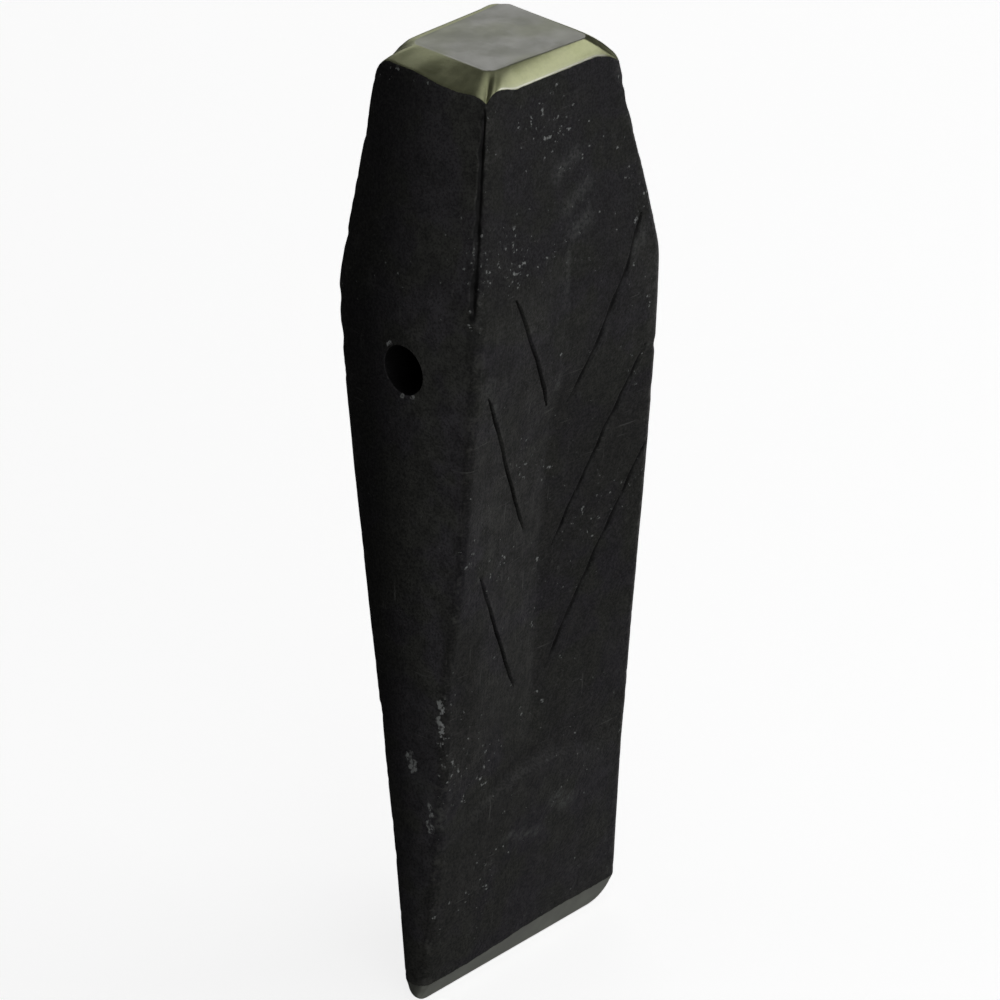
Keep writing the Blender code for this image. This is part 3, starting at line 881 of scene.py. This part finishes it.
    # painted highlight: the near-white line along the lower border of the poll bevel on the -Y face
    metal = n.mix(n.math("MULTIPLY", n.mask("rim"), 0.9), metal, (0.95, 0.95, 0.86))
    metal = n.mix(ground_edge, metal, edge_metal)
    colour = n.mix(ground, skin, metal)

    uneven = n.math("ADD", n.math("MULTIPLY", mottle, 0.6), n.math("MULTIPLY", fine, 0.4))
    skin_rough = n.ramp(uneven, 0.35, 0.65, 0.62, 0.42)
    metal_rough = n.ramp(cloud, 0.3, 0.7, 0.32, 0.46)
    blend = {"Factor": ground, 2: skin_rough, 3: metal_rough}
    rough = n.add("ShaderNodeMix", blend, data_type="FLOAT").outputs[0]

    height = n.math("ADD", n.math("MULTIPLY", mottle, 0.9), n.math("MULTIPLY", fine, 0.35))
    height = n.math("ADD", height, n.math("MULTIPLY", grain, 0.10))
    height = n.math("SUBTRACT", height, n.math("MULTIPLY", n.math("MAXIMUM", hair, scuff), 0.12))
    fade = n.math("SUBTRACT", 1.0, n.math("MULTIPLY", ground, 0.90))
    height = n.math("MULTIPLY", height, fade)
    height = n.math("ADD", height, n.math("MULTIPLY", n.math("MULTIPLY", streak, ground), 0.07))
    height = n.math("SUBTRACT", height, n.math("MULTIPLY", ground, 0.05))
    bump = n.add("ShaderNodeBump", {"Strength": 0.8, "Distance": 0.0005, "Height": height})

    bare = n.math("SUBTRACT", ground, n.math("MULTIPLY", ground_edge, 0.4))
    bare = n.math("MAXIMUM", bare, n.math("MULTIPLY", scuff, 0.35))
    surface = {"Base Color": colour, "Metallic": bare, "Roughness": rough, "Normal": bump.outputs[0]}
    shader = n.add("ShaderNodeBsdfPrincipled", surface)
    shader.inputs["Specular IOR Level"].default_value = 0.35
    n.add("ShaderNodeOutputMaterial", {"Surface": shader.outputs[0]})
    return material


def floor_material():
    material = bpy.data.materials.new("pale_studio_floor")
    n = Nodes(material)
    place = n.add("ShaderNodeTexCoord").outputs["Object"]
    tone = n.mix(n.noise(place, 3.0, 2.0), (0.80, 0.80, 0.80), (0.82, 0.82, 0.82))
    shader = n.add("ShaderNodeBsdfPrincipled", {"Base Color": tone, "Roughness": 0.9})
    shader.inputs["Emission Color"].default_value = (1.0, 1.0, 1.0, 1.0)
    shader.inputs["Emission Strength"].default_value = 0.80
    shader.inputs["Specular IOR Level"].default_value = 0.0
    n.add("ShaderNodeOutputMaterial", {"Surface": shader.outputs[0]})
    return material


# ---------------------------------------------------------------- studio
def studio_floor():
    """A round pale floor that sweeps up into a wall well behind everything, in metres."""
    flat = [(0.6, 0.0), (1.5, 0.0), (2.6, 0.0)]
    sweep = [(3.2, 0.05), (3.7, 0.25), (4.0, 0.6), (4.1, 1.2), (4.1, 4.0)]
    segments = 96
    turns = [2 * math.pi * i / segments for i in range(segments)]
    work = bmesh.new()
    centre = work.verts.new((0.0, 0.0, 0.0))
    loops = []
    for r, z in flat + sweep:
        loops.append([work.verts.new((r * math.cos(turn), r * math.sin(turn), z)) for turn in turns])
    for i in range(segments):
        j = (i + 1) % segments
        work.faces.new((centre, loops[0][i], loops[0][j]))
        for low, high in zip(loops, loops[1:]):
            work.faces.new((low[i], high[i], high[j], low[j]))
    mesh = bpy.data.meshes.new("studio_floor")
    work.to_mesh(mesh)
    work.free()
    mesh.polygons.foreach_set("use_smooth", [True] * len(mesh.polygons))
    floor = bpy.data.objects.new("studio_floor", mesh)
    bpy.context.scene.collection.objects.link(floor)
    floor.location.z = LOW.z - 0.0002
    floor.data.materials.append(floor_material())
    floor.visible_diffuse = False
    floor.visible_glossy = False
    floor.visible_shadow = False
    return floor


def direction(azimuth, elevation):
    """Unit vector towards a place round the wedge: azimuth 0 is in front of the -Y face, 90 beside +X."""
    a, e = math.radians(azimuth), math.radians(elevation)
    return Vector((math.sin(a) * math.cos(e), -math.cos(a) * math.cos(e), math.sin(e)))


def softbox(name, azimuth, elevation, radiance):
    """A square lamp that faces the wedge's middle."""
    light = bpy.data.lights.new(name, "AREA")
    light.shape = "SQUARE"
    light.size = SOFTBOX_SIZE
    light.energy = radiance * math.pi * SOFTBOX_SIZE**2
    lamp = bpy.data.objects.new(name, light)
    bpy.context.scene.collection.objects.link(lamp)
    back = direction(azimuth, elevation)
    lamp.location = Vector((0.0, 0.0, 0.5 * (LOW.z + HIGH.z))) + back * SOFTBOX_DISTANCE
    lamp.rotation_euler = back.to_track_quat("Z", "Y").to_euler()


SOFTBOXES = (
    # name, azimuth and elevation in degrees, radiance
    ("key_right", 50.0, 30.0, 1.15),
    ("fill_right", 20.0, 15.0, 0.30),
    ("front", -23.0, 5.0, 1.32),
    ("low_right", 85.0, -20.0, 0.60),
    ("low_front", 40.0, -25.0, 0.10),
    ("under_right", 87.0, -49.0, 0.13),
    ("top", -20.0, 80.0, 0.60),
    ("high_right", 62.0, 62.0, 0.15),
    ("back_right", 134.0, 26.0, 0.57),
    ("back_left", -135.0, 25.0, 0.20),
    ("back_high", 160.0, 55.0, 0.040),
    ("under", 0.0, -85.0, 0.18),
)
SOFTBOX_DISTANCE = 1.35
SOFTBOX_SIZE = 0.8
WORLD_LEVEL = 0.018


def studio():
    studio_floor()
    for values in SOFTBOXES:
        softbox(*values)
    world = bpy.data.worlds.new("studio")
    world.use_nodes = True
    world.node_tree.nodes["Background"].inputs["Color"].default_value = (1.0, 1.0, 1.0, 1.0)
    world.node_tree.nodes["Background"].inputs["Strength"].default_value = WORLD_LEVEL
    bpy.context.scene.world = world
    bpy.context.scene.view_settings.view_transform = "Standard"


AZIMUTH, ELEVATION, ROLL = -46.93, 26.01, -0.96
CAMERA_DISTANCE = 1170.9
AIM = Vector((0.0, 0.0, 123.8))
SENSOR_WIDTH = 36.0
FOCAL_LENGTH = 177.696
AIM_OFFSET = (-0.95, -0.22)


def camera():
    data = bpy.data.cameras.new("camera")
    data.lens = FOCAL_LENGTH
    data.sensor_width = SENSOR_WIDTH
    data.clip_start, data.clip_end = 0.05, 50.0
    cam = bpy.data.objects.new("camera", data)
    bpy.context.scene.collection.objects.link(cam)
    a, r = math.radians(AZIMUTH), math.radians(ROLL)
    back = direction(AZIMUTH, ELEVATION)
    right = Vector((math.cos(a), math.sin(a), 0.0))
    up = back.cross(right)
    right, up = right * math.cos(r) + up * math.sin(r), up * math.cos(r) - right * math.sin(r)
    place = AIM + back * CAMERA_DISTANCE + right * AIM_OFFSET[0] + up * AIM_OFFSET[1]
    turn = Matrix((right, up, back)).transposed().to_4x4()
    cam.matrix_world = Matrix.Translation(place * MM) @ turn
    bpy.context.scene.camera = cam
    return cam


wedge = build_wedge()
wedge.data.materials.clear()
wedge.data.materials.append(forged_steel())
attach(wedge, "root")
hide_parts(NODE)
studio()
camera()
